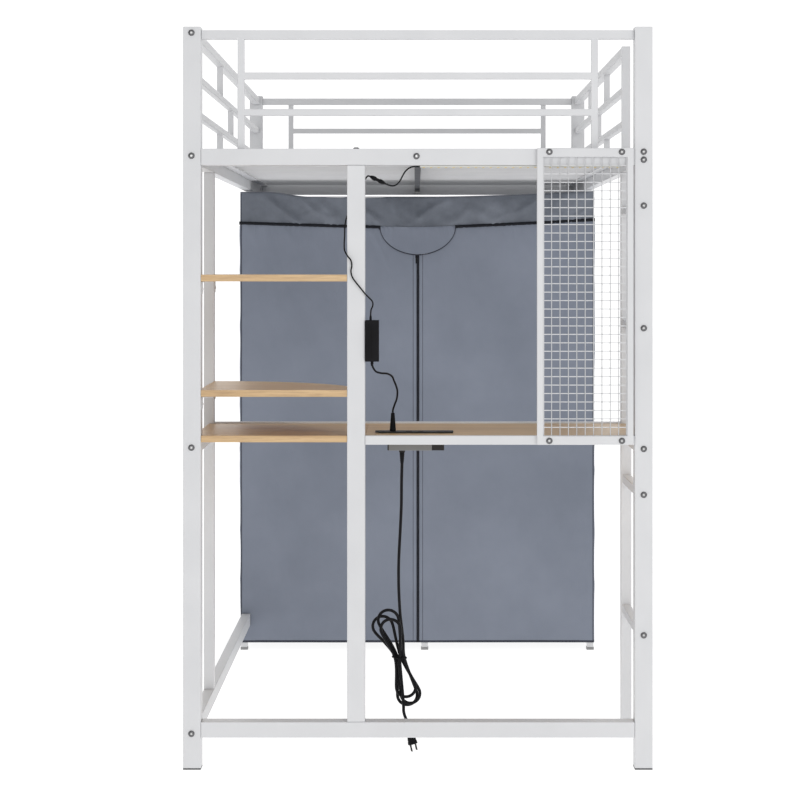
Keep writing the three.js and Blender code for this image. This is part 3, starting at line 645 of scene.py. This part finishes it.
NODE_FINISH = {
    "frame_paint": (PAINT, 0.0015),
    # The centre beam's near black is painted shade.
    "beam_paint": (BEAM_PAINTED_SHADE, 0.0015),
    "foot_plastic": (FOOT, 0.001),
    "board_wood": (OAK, 0.0012),
    "outlet_plastic": (OUTLET, 0.0012),
    "black_plastic": (BLACK, 0.0015),
    "rod_chrome": (CHROME, 0.0005),
    "strip_silicone": (SILICONE, 0.0006),
}


def dress_nodes():
    for part in frame["record"]["subparts"]:
        finish = NODE_FINISH.get(part["material_slot"])
        if finish:
            dress(part["node"], *finish)


dress_nodes()


# ---- Hardware ----
BOLT = [(0.0072, 0.0, 0), (0.0072, 0.0008, 0), (0.0067, 0.0023, 0), (0.0052, 0.0035, 0), (0.0036, 0.0039, 0)]
BOLT_RECESS = [(0.0026, 0.0039, 6), (0.0024, 0.0024, 6)]


def bolts(name, places, axis):
    """Button-head bolts with a hexagon socket, all along one direction."""
    vertices, faces = lathe(BOLT + BOLT_RECESS)
    slots = [0] * (len(faces) - 26) + [1] * 24 + [0, 2]
    batch = Batch()
    for place in places:
        batch.add(vertices, faces, place, axis, slots)
    piece = batch.piece(name, [ZINC, SOCKET, BRIGHT], True)
    piece.data.set_sharp_from_angle(angle=math.radians(50))
    return finish_piece(piece, "bed", "frame_paint")


def make_bolts():
    heights_left = [1654, 1378, 723, 81]
    heights_right = [1387, 1369, 1266, 991, 720, 617, 302]
    near = [point(-508, 0, z) for z in heights_left] + [point(507, 0, z) for z in heights_right]
    near += [point(-3, 0, 1377)]
    bolts("bolts_near", near, (0, -1, 0))
    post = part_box("middle_post")
    rail_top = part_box("platform_rail_near")[1].z
    bolts("bolt_middle_post", [Vector(((post[0].x + post[1].x) / 2, NEAR_Y + 0.020, rail_top))], (0, 0, 1))
    mesh_front = (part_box("mesh_panel")[0].y - NEAR_Y) / MM
    bolts("bolts_mesh", [point(x, mesh_front, z) for x in (294.5, 457) for z in (1386, 739)], (0, -1, 0))
    length = (FAR_Y - NEAR_Y) / MM
    far = [point(side * 507, length, z) for side in (-1, 1) for z in (1654, 1378)]
    bolts("bolts_far", far, (0, 1, 0))


make_bolts()


def cap_sleeve(batch, low, high, height):
    """A square cap round the foot of a leg whose box is given."""
    wall = 0.0012
    batch.box((low[0] - wall, low[1] - wall, 0), (high[0] + wall, high[1] + wall, height))


def make_caps():
    """Dark caps on the feet of the ladder's leg and the wardrobe's legs, and one on the guard's end."""
    batch = Batch()
    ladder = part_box("ladder")
    leg = 0.025
    middle = 0.022
    cap_sleeve(batch, (ladder[0].x, ladder[1].y - leg), (ladder[1].x, ladder[1].y), 0.012)
    for name in ("wardrobe_frame_front", "wardrobe_frame_rear"):
        low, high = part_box(name)
        width = high.y - low.y
        for x in (low.x + width / 2, middle, high.x - width / 2):
            cap_sleeve(batch, (x - width / 2, low.y), (x + width / 2, high.y), 0.008)
    finish_batch(batch, "leg_caps", [CAP], "foot_plastic", 0.0008)
    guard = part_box("guard_right")
    end = Batch()
    end.box((guard[0].x, guard[0].y, guard[1].z - 0.001), (guard[1].x, guard[0].y + 0.02, guard[1].z + 0.002))
    finish_batch(end, "guard_end_cap", [PAINT], "frame_paint", 0.0008)


make_caps()


def bracket(batch, corner, size=0.028, width=0.016, sheet=0.002):
    """An angle bracket under a shelf: a leg down the support's face, bolted, and a leg under the board."""
    x, y, z = corner
    near, far = y - width / 2, y + width / 2
    batch.box((x, near, z - size), (x + sheet, far, z))
    batch.box((x, near, z - sheet), (x + size, far, z))
    head = (x + sheet, y, z - size * 0.62)
    batch.add(*lathe([(0.0035, 0, 0), (0.003, 0.0018, 0)], 12), head, (1, 0, 0))


def make_brackets():
    batch = Batch()
    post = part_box("post_near_left")
    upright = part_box("left_upright")
    for name in ("shelf_upper", "shelf_lower"):
        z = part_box(name)[0].z - 0.0002
        bracket(batch, (post[1].x, (post[0].y + post[1].y) / 2, z))
        bracket(batch, (upright[1].x, upright[1].y - 0.0125, z))
    finish_batch(batch, "shelf_brackets", [PAINT], "frame_paint", 0.0004, 1)


make_brackets()


# ---- Outlet, adapter and light strip ----
# Places across the bed of the outlet's two mains sockets and of the two small sockets between them.
SOCKETS = (-0.078, 0.062)
SMALL_SOCKETS = (-0.02, 0.006)
SOCKET_RISE = 0.0006
SLOT_SPREAD = 0.0064
SHELL_LEFT = -0.0665
SHELL_RIGHT = 0.0325
SHELL_HALF_DEPTH = 0.0225


def make_outlet_details():
    """The sockets in the outlet's face, and the grey shell of its body under the desk."""
    low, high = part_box("outlet")
    middle = (low.y + high.y) / 2
    top = high.z
    batch = Batch()
    slot_heights = (top, top + SOCKET_RISE * 1.4)
    for x in SOCKETS:
        batch.slab((x, middle), (0.019, 0.019), (top - 0.001, top + SOCKET_RISE))
        for pin in (-SLOT_SPREAD, SLOT_SPREAD):
            batch.slab((x + pin, middle + 0.005), (0.001, 0.004), slot_heights, 1)
        earth = lathe([(0.0026, 0, 0), (0.0026, SOCKET_RISE * 1.4, 0)], 14)
        batch.add(*earth, (x, middle - 0.008, top), slots=[1] * 16)
    for x in SMALL_SOCKETS:
        batch.slab((x, middle - 0.010), (0.0068, 0.003), slot_heights, 1)
        batch.slab((x, middle - 0.010), (0.0058, 0.0005), (top, top + SOCKET_RISE * 1.8))
    finish_batch(batch, "outlet_sockets", [OUTLET, SOCKET], "outlet_plastic")
    shell = Batch()
    underside = low.z + 0.006
    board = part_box("desk_board_right")[0].z
    shell_low = (SHELL_LEFT, middle - SHELL_HALF_DEPTH, underside - 0.0004)
    shell.box(shell_low, (SHELL_RIGHT, middle + SHELL_HALF_DEPTH, board - 0.002))
    finish_batch(shell, "outlet_shell", [GREY], "outlet_plastic", 0.0015)


# Share of the radius and height of each ring of the adapter's short cord sleeves.
SLEEVE = [(1.0, 0.0), (0.9, 0.003), (1.0, 0.0045), (0.8, 0.007), (0.7, 0.010)]


def make_adapter_details():
    """The adapter's cord sleeves, the seam of its case and the ribs on its front."""
    low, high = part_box("adapter")
    seam = (low.y + high.y) / 2
    batch = Batch()
    below = (ADAPTER_ROUTE[-1][0] * MM, low.z, (0, 0, -1), 0.0036)
    above = (THIN_ROUTE_LOWER[0][0] * MM, high.z, (0, 0, 1), 0.003)
    for x, z, axis, radius in (below, above):
        profile = [(radius * share, height, 0) for share, height in SLEEVE]
        batch.add(*lathe(profile, 16), (x, seam, z), axis)
    grow = 0.0003
    seam_low = (low.x + 0.001, seam - 0.0006, low.z - grow)
    batch.box(seam_low, (high.x + grow, seam + 0.0006, high.z + grow))
    for share in (0.2, 0.36, 0.52):
        x = low.x + (high.x - low.x) * share
        batch.box((x - 0.0006, low.y - 0.0009, low.z + 0.008), (x + 0.0006, low.y + 0.0005, high.z - 0.008))
    finish_batch(batch, "adapter_details", [BLACK], "black_plastic")


def make_light_chips():
    low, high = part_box("led_strip")
    middle = (low.y + high.y) / 2
    batch = Batch()
    count = 27
    for index in range(count):
        x = low.x + (high.x - low.x) * (index + 0.5) / count
        batch.slab((x, middle), (0.0025, 0.0025), (low.z - 0.0012, low.z + 0.0005))
    finish_batch(batch, "light_chips", [CHIP], "strip_silicone", 0.0004, 1)


make_outlet_details()
make_adapter_details()
make_light_chips()


# ---- Wardrobe cover ----
COVER_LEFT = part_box("cover_left")[0].x
COVER_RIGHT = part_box("cover_right")[1].x
COVER_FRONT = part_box("cover_left")[0].y
COVER_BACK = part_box("cover_back")[1].y
COVER_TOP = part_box("cover_top")[1].z
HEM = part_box("cover_left")[0].z
HINGE_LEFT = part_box("door_left")[0].x
HINGE_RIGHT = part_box("door_right")[1].x
ZIP_X = (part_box("door_left")[1].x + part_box("door_right")[0].x) / 2
FLAP_LOW, FLAP_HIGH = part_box("zip_flap")
FLAP_REACH = (FLAP_HIGH.x - FLAP_LOW.x) / 2
FLAP_DROP = FLAP_HIGH.z - FLAP_LOW.z
ZIP_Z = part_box("cover_top")[0].z
BINDING_HEIGHT = 0.007


def zip_height(x):
    """The horizontal zip hangs lower in the middle than at the corners, and lowest at the flap."""
    share = (x - ZIP_X) / (COVER_RIGHT - ZIP_X)
    lift = 0.024 if share > 0 else 0.014
    return ZIP_Z - 0.005 + lift * abs(share) ** 1.25


def ease(value):
    """A smooth step from 0 to 1."""
    value = min(1.0, max(0.0, value))
    return value * value * (3 - 2 * value)


def top_height(x):
    """The top edge stands higher at the left, and rises steadily to the right corner."""
    right = max(0.0, (x - 0.05) / (COVER_RIGHT - 0.05))
    return COVER_TOP - 0.001 + 0.014 * ease((-0.32 - x) / 0.12) + 0.018 * right ** 1.6


def field(x, z, scale, seed, stretch=1.0):
    return noise.noise(Vector((x / scale + seed, seed * 1.7, z / (scale * stretch) - seed)))


def ridge(value, sharpness=2.0):
    """Folds with narrow crests, from a smooth noise value."""
    return (1 - min(1.0, abs(value) * sharpness)) ** 2


def puckers(x, pitch, drift):
    """Small folds along the zip, whose spacing drifts."""
    return math.sin(x * 2 * math.pi / pitch + drift)


def drape(x, z):
    """How far the front cloth stands out (+) or in (-) at a place on it."""
    seam = zip_height(x)
    over = z - seam
    out = 0.0022 * field(x, z, 0.30, 3.1, 1.8) + 0.0009 * field(x, z, 0.11, 7.7, 2.4)
    if over < 0:
        near_zip = math.exp(over / 0.13)
        out += 0.0034 * near_zip * ridge(field(x + 0.35 * over, z, 0.055, 11.3, 3.2), 2.4)
        out += 0.0020 * math.exp(over / 0.018) * puckers(x, 0.016, 3 * field(x, 0, 0.05, 2.2))
        corner = min(abs(x - COVER_LEFT), abs(COVER_RIGHT - x))
        out += 0.0024 * math.exp(-corner / 0.12) * ridge(field(x - 0.6 * z, z, 0.10, 5.9, 2.0), 2.0)
    else:
        height = max(0.001, top_height(x) - seam)
        share = min(1.0, over / height)
        body = math.sin(math.pi * min(1.0, share * 1.05)) ** 0.8
        body *= ease(min(x - COVER_LEFT, COVER_RIGHT - x) / 0.05)
        lean = 0.9 if x < ZIP_X else -0.9
        out += 0.015 * body * ridge(field(x + lean * over, z, 0.085, 21.0, 1.5), 1.8)
        out += 0.008 * body * field(x - lean * over, z, 0.045, 31.0, 1.3)
        out += 0.0022 * math.exp(-over / 0.014) * puckers(x, 0.014, 4 * field(x, 0, 0.06, 9.0))
        out -= 0.004 * body
    return out


def front_point(x, z, lift=0.0):
    """A point of the front cloth. Lift brings it forward of the cloth."""
    out = max(-0.002, drape(x, z))
    return Vector((x, COVER_FRONT + 0.001 - out - lift, z))


def grid(name, columns, rows, place, materials, choose=None, thickness=0.0009):
    """A sheet of cloth from a grid of places, given a real thickness."""
    vertices = [place(column, row) for row in rows for column in columns]
    width = len(columns)
    faces = []
    for row in range(len(rows) - 1):
        for column in range(width - 1):
            base = row * width + column
            faces.append((base, base + 1, base + width + 1, base + width))
    piece = from_lists(name, vertices, faces, materials)
    if choose:
        for polygon in piece.data.polygons:
            polygon.material_index = choose(polygon.center)
    solid = piece.modifiers.new("thickness", "SOLIDIFY")
    solid.thickness = thickness
    solid.offset = 0.0
    return piece


def spread(low, high, step):
    count = max(1, round((high - low) / step))
    return [low + (high - low) * index / count for index in range(count + 1)]


def flap_edge(x, margin=0.0):
    """How far below its top the flap's edge lies at x, or 0 outside it."""
    share = (x - ZIP_X) / (FLAP_REACH + margin)
    return (FLAP_DROP + margin) * math.sqrt(max(0.0, 1 - share * share))


def apply_modifiers(piece):
    """Makes the modifiers' result the piece's own mesh."""
    graph = bpy.context.evaluated_depsgraph_get()
    mesh = bpy.data.meshes.new_from_object(piece.evaluated_get(graph))
    piece.modifiers.clear()
    piece.data = mesh
    mesh.set_sharp_from_angle(angle=math.radians(55))
    return piece


def door_columns(low, high):
    """Columns of a door: closer together round the flap's edge."""
    columns = spread(low, high, 0.007)
    for side in (-1, 1):
        edge = [ZIP_X + side * FLAP_REACH * math.cos(math.radians(a)) for a in range(0, 91, 5)]
        columns += [x for x in edge if low < x < high]
    columns = sorted(columns)
    kept = [columns[0]]
    for x in columns[1:]:
        if x - kept[-1] > 0.0006:
            kept.append(x)
    kept[-1] = high
    return kept


def hem_or_cloth(centre):
    return 1 if centre.z < HEM + BINDING_HEIGHT else 0


def make_door(side, low, high):
    """One front panel, from the hem up to the zip and round the flap."""
    shares = [0, 0.002, 0.0057, 0.01] + spread(0.02, 0.86, 0.011) + spread(0.868, 1.0, 0.0055)

    def place(x, share):
        top = zip_height(x) - flap_edge(x, 0.0012)
        return front_point(x, HEM + (top - HEM) * share)

    door = grid(f"door_cloth_{side}", door_columns(low, high), shares, place, [CLOTH, BINDING], hem_or_cloth)
    apply_modifiers(door)
    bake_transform(door)
    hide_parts(f"door_{side}")
    return door


OUT = Vector((0, -1, 0))
SIDEWAYS = Vector((1, 0, 0))
UPWARD = Vector((0, 0, 1))


def ribbon(name, centres, half_width, rise, material, directions):
    """A raised flat band along a line. Its section is a low dome, turned to the direction at each point."""
    section = [(-1.0, 0.0), (-0.8, 0.75), (-0.25, 1.0), (0.25, 1.0), (0.8, 0.75), (1.0, 0.0)]
    vertices = []
    for centre, across in zip(centres, directions):
        for side, height in section:
            vertices.append(centre + across * (side * half_width) + OUT * (height * rise))
    count = len(section)
    faces = []
    for index in range(len(centres) - 1):
        for side in range(count):
            nxt = (side + 1) % count
            first, second = index * count, (index + 1) * count
            faces.append((first + side, second + side, second + nxt, first + nxt))
    faces.append(tuple(range(count)))
    faces.append(tuple((len(centres) - 1) * count + side for side in range(count))[::-1])
    return from_lists(name, vertices, faces, material)


def upright_ribbon(name, x, heights, sink, half_width, rise, material):
    """A ribbon that runs up the front cloth, sunk a little into it."""
    centres = [front_point(x, z) + Vector((0, sink, 0)) for z in heights]
    return ribbon(name, centres, half_width, rise, material, [SIDEWAYS] * len(centres))


def make_front_zip(name, low, high):
    """A stretch of the horizontal zip, which follows the cloth under it."""
    sink = Vector((0, 0.0006, 0))
    centres = [front_point(x, zip_height(x)) + sink for x in spread(low, high, 0.008)]
    piece = ribbon(name, centres, 0.0048, 0.0052, ZIP, [UPWARD] * len(centres))
    return finish_piece(piece, "bed", "black_plastic")


def make_centre_zip(side, body):
    """Half of the upright zip, which goes with its own door."""
    sign = -1 if side == "left" else 1
    x = ZIP_X + sign * 0.0021
    low = HEM + 0.001
    high = zip_height(ZIP_X) - FLAP_DROP - 0.001
    heights = spread(low, high, 0.012)
    piece = upright_ribbon(f"centre_zip_{side}", x, heights, 0.0006, 0.0021, 0.003, ZIP_UPRIGHT)
    finish_piece(piece, body, "black_plastic")
    heights = spread(low, high + FLAP_DROP * 0.1, 0.012)
    stitch_x = ZIP_X + sign * 0.014
    seam = upright_ribbon(f"zip_stitching_{side}", stitch_x, heights, 0.0005, 0.0008, 0.0013, BINDING)
    finish_piece(seam, body, "cover_fabric")


def flap_surface(x, z):
    """The flap lies a little proud of the doors, and its lower edge lifts."""
    share = (zip_height(ZIP_X) - z) / FLAP_DROP
    return front_point(x, z, 0.0022 + 0.0022 * share * share)


def make_flap():
    """The half-round flap over the top of the upright zip, with a bound edge."""
    columns = [ZIP_X - FLAP_REACH * math.cos(math.radians(a)) for a in range(4, 177, 4)]

    def place(x, share):
        top = zip_height(x) + 0.002
        return flap_surface(x, top - flap_edge(x) * share)

    flap = grid("flap_cloth", columns, spread(0, 1, 0.07), place, [CLOTH])
    apply_modifiers(flap)
    angles = range(2, 179, 4)
    edge = []
    for a in angles:
        x = ZIP_X - FLAP_REACH * math.cos(math.radians(a))
        edge.append(flap_surface(x, zip_height(x) - flap_edge(x)) + Vector((0, 0.0004, 0)))

    directions = []
    for before, after in zip(edge[:1] + edge[:-1], edge[1:] + edge[-1:]):
        directions.append((after - before).cross(OUT).normalized())
    bound = ribbon("flap_binding", edge, 0.0013, 0.0014, BINDING, directions)
    for piece in (flap, bound):
        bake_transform(piece)
    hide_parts("zip_flap")
    return flap, bound


CORNER = 0.009


def wrap_line():
    """The plan of the cover from the left door round the back to the right door, with outward normals."""
    line = []

    def straight(start, end, normal, step=0.011):
        count = max(1, round((Vector(end) - Vector(start)).length / step))
        for index in range(count):
            line.append((Vector(start).lerp(Vector(end), index / count), Vector(normal)))

    def corner(centre, first):
        for index in range(5):
            angle = math.radians(first - 90 * index / 5)
            normal = Vector((math.cos(angle), math.sin(angle)))
            line.append((Vector(centre) + normal * CORNER, normal))

    left, right = COVER_LEFT + 0.001, COVER_RIGHT - 0.001
    front, back = COVER_FRONT + 0.001, COVER_BACK - 0.001
    straight((HINGE_LEFT, front), (left + CORNER, front), (0, -1), 0.007)
    corner((left + CORNER, front + CORNER), 270)
    straight((left, front + CORNER), (left, back - CORNER), (-1, 0))
    corner((left + CORNER, back - CORNER), 180)
    straight((left + CORNER, back), (right - CORNER, back), (0, 1))
    corner((right - CORNER, back - CORNER), 90)
    straight((right, back - CORNER), (right, front + CORNER), (1, 0))
    corner((right - CORNER, front + CORNER), 0)
    straight((right - CORNER, front), (HINGE_RIGHT, front), (0, -1), 0.007)
    line.append((Vector((HINGE_RIGHT, front)), Vector((0, -1))))
    return line


def side_drape(along, z):
    """Slack and folds of the side and back cloth."""
    out = 0.003 * field(along, z, 0.26, 41.0, 1.9) + 0.0012 * field(along, z, 0.09, 43.0, 2.6)
    near_top = math.exp((z - COVER_TOP) / 0.16)
    out += 0.005 * near_top * ridge(field(along + 0.5 * z, z, 0.08, 47.0, 2.4), 2.0)
    return min(out, 0.0045)


def make_wrap():
    line = wrap_line()
    shares = [0, 0.002, 0.0053, 0.01] + spread(0.02, 0.9, 0.012) + spread(0.908, 1.0, 0.008)

    def place(column, share):
        spot, normal = line[column]
        on_front = normal.y < -0.6 and spot.y < COVER_FRONT + CORNER
        top = zip_height(spot.x) if on_front else COVER_TOP - 0.001
        if not on_front and spot.y < COVER_FRONT + 0.03 and abs(normal.x) > 0.6:
            top = top_height(spot.x)
        z = HEM + (top - HEM) * share
        if on_front:
            out = max(-0.002, drape(spot.x, z))
        else:
            along = spot.x + spot.y
            blend = min(1.0, (spot.y - COVER_FRONT) / 0.05)
            out = side_drape(along, z) * blend + drape(spot.x, z) * (1 - blend)
        return Vector((spot.x + normal.x * out, spot.y + normal.y * out, z))

    wrap = grid("cover_wrap", list(range(len(line))), shares, place, [CLOTH, BINDING], hem_or_cloth)
    apply_modifiers(wrap)
    finish_piece(wrap, "bed", "cover_fabric", "cover_left", "cover_right", "cover_back")
    return wrap


def make_roof():
    """The top cloth and the band that hangs from its front edge down to the zip."""
    columns = spread(COVER_LEFT + 0.001, COVER_RIGHT - 0.001, 0.007)
    depth = COVER_BACK - COVER_FRONT - 0.010
    roll = 0.007
    band = spread(0.0, 1.0, 0.05)
    rolled = [1.0 + 0.1 * index / 4 for index in range(1, 5)]
    flat = [1.1 + index / 34 for index in range(1, 35)]

    def place(x, share):
        seam = zip_height(x)
        top = top_height(x)
        if share <= 1.0:
            z = seam + (top - roll - seam) * share
            return front_point(x, z)
        if share <= 1.1:
            angle = (share - 1.0) / 0.1 * math.pi / 2
            z = top - roll + roll * math.sin(angle)
            edge = front_point(x, top - roll)
            return Vector((x, edge.y + roll * (1 - math.cos(angle)), z))
        along = (share - 1.1) * depth
        y = COVER_FRONT + 0.008 + along
        back = along / depth
        level = top + (COVER_TOP - 0.001 - top) * min(1.0, back * 3)
        width = (x - COVER_LEFT) / (COVER_RIGHT - COVER_LEFT)
        sag = 0.020 * math.sin(math.pi * back) ** 0.8 * math.sin(math.pi * width) ** 0.35
        folds = 0.004 * math.sin(math.pi * back) * field(x, y, 0.12, 53.0)
        return Vector((x, y, level - sag + folds))

    # The whole roof, band and top, takes the darker band cloth: painted shade.
    roof = grid("cover_roof", columns, band + rolled + flat, place, [SHADED_BAND])
    apply_modifiers(roof)
    finish_piece(roof, "bed", "cover_fabric", "cover_top")
    return roof


def make_cover_trim():
    """Bound seams down the two front corners."""
    for name, x in (("left", COVER_LEFT + 0.004), ("right", COVER_RIGHT - 0.004)):
        heights = spread(HEM, top_height(x) - 0.004, 0.02)
        piece = upright_ribbon(f"corner_seam_{name}", x, heights, 0.0004, 0.0012, 0.0012, BINDING)
        finish_piece(piece, "bed", "cover_fabric")


def make_slider():
    """The zip slider with its pull, on the left door's edge."""
    low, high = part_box("zip_slider")
    batch = Batch()
    x = high.x
    top = high.z
    batch.box((x - 0.007, low.y + 0.0012, top - 0.010), (x, high.y, top))
    batch.box((x - 0.005, low.y + 0.0002, top - 0.0085), (x - 0.002, low.y + 0.0014, top - 0.0015))
    batch.box((x - 0.0062, low.y + 0.0004, low.z), (x - 0.0008, low.y + 0.0016, top - 0.0075))
    piece = batch.piece("slider_pull", [BLACK])
    soften(piece, 0.0005)
    finish_piece(piece, "slider", "black_plastic", "zip_slider")


def make_cover():
    door_left = make_door("left", HINGE_LEFT, ZIP_X)
    door_right = make_door("right", ZIP_X, HINGE_RIGHT)
    make_front_zip("front_zip_left", COVER_LEFT - 0.002, ZIP_X - FLAP_REACH + 0.001)
    make_front_zip("front_zip_right", ZIP_X + FLAP_REACH - 0.001, COVER_RIGHT + 0.001)
    make_centre_zip("left", "left_door")
    make_centre_zip("right", "right_door")
    flap, bound = make_flap()
    wrap = make_wrap()
    roof = make_roof()
    make_cover_trim()
    make_slider()


make_cover()


# ---- Floor, light and background ----
def make_stage():
    floor_mesh = bpy.data.meshes.new("floor")
    builder = bmesh.new()
    profile = [(-7.0, 0.0), (5.0, 0.0)]
    for index in range(1, 13):
        angle = math.radians(90 * index / 12)
        profile.append((5.0 + 2.0 * math.sin(angle), 2.0 * (1 - math.cos(angle))))
    profile.append((7.0, 9.0))
    rows = []
    for y, z in profile:
        rows.append([builder.verts.new((x, y, z - 0.0002)) for x in (-9.0, 9.0)])
    for first, second in zip(rows, rows[1:]):
        builder.faces.new((first[0], first[1], second[1], second[0]))
    builder.to_mesh(floor_mesh)
    builder.free()
    shader = Shader("studio_floor", 0.85)
    shader.colour(shader.ramp(shader.noise(2.0, 2.0), [(0.2, (0.3, 0.3, 0.3)), (0.8, (0.33, 0.33, 0.33))]))
    shader.principled.inputs["Emission Color"].default_value = (1, 1, 1, 1)
    shader.principled.inputs["Emission Strength"].default_value = 0.9
    link("floor", floor_mesh, shader.material)


def area_light(name, place, target, size, power):
    data = bpy.data.lights.new(name, "AREA")
    data.shape = "RECTANGLE"
    data.size, data.size_y = size
    data.energy = power
    lamp = bpy.data.objects.new(name, data)
    lamp.location = place
    lamp.rotation_euler = (Vector(target) - Vector(place)).to_track_quat("-Z", "Y").to_euler()
    bpy.context.collection.objects.link(lamp)


def make_light():
    world = bpy.data.worlds.new("studio")
    world.use_nodes = True
    background = world.node_tree.nodes["Background"]
    background.inputs["Color"].default_value = (1, 1, 1, 1)
    background.inputs["Strength"].default_value = 0.5
    bpy.context.scene.world = world
    bpy.context.scene.view_settings.view_transform = "Standard"
    area_light("key", (2.4, -4.6, 2.6), (0, 0, 0.9), (1.2, 1.2), 34)
    area_light("front", (-0.4, -6.2, 1.4), (0, 0, 1.0), (2.0, 2.0), 36)
    area_light("overhead", (0, 0.5, 5.5), (0, 0.5, 0), (5.0, 6.0), 52)


make_stage()
make_light()
